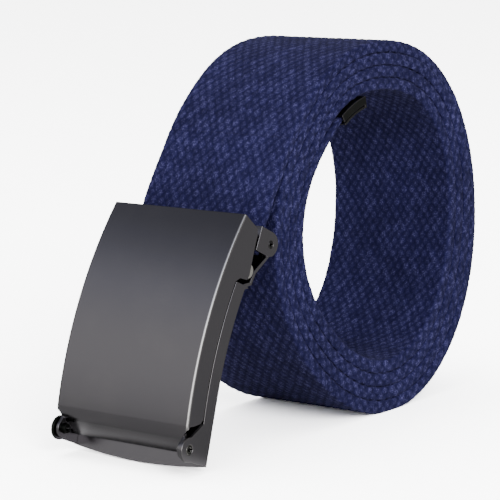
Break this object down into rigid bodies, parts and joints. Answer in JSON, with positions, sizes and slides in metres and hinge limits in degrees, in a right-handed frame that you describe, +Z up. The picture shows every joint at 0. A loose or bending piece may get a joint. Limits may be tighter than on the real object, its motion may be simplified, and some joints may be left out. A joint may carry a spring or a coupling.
{
  "type": "web belt",
  "caption": "Coiled canvas web belt standing on its rim, with a metal tip and a flip-top plate buckle that clamps the webbing.",
  "frame": {"origin": "on the floor, under the middle of the belt's bounding box as it stands", "axes": "+Z up, +Y along the coil's axis towards its far rim, +X from the buckle towards the coil"},
  "size_m": [0.1342, 0.0404, 0.0976],
  "materials": {
    "webbing": "matte plain weave",
    "gunmetal": "satin dark plating",
    "bare_steel": "bright"
  },
  "bodies": {
    "belt": {"strap": "webbing", "strap_tip": "gunmetal", "buckle_frame": "gunmetal", "hinge_pin_near": "bare_steel", "hinge_pin_far": "bare_steel", "clamp_bracket": "gunmetal", "clamp_pin": "gunmetal", "snap_bar": "bare_steel"},
    "lid": {"buckle_lid": "gunmetal"}
  },
  "joints": [
    {"name": "lid_hinge", "type": "hinge", "parent": "belt", "child": "lid", "pos_m": [-0.06408, 0, 0.00693], "axis": [0, -1, 0], "range_deg": [0, 100]}
  ]
}
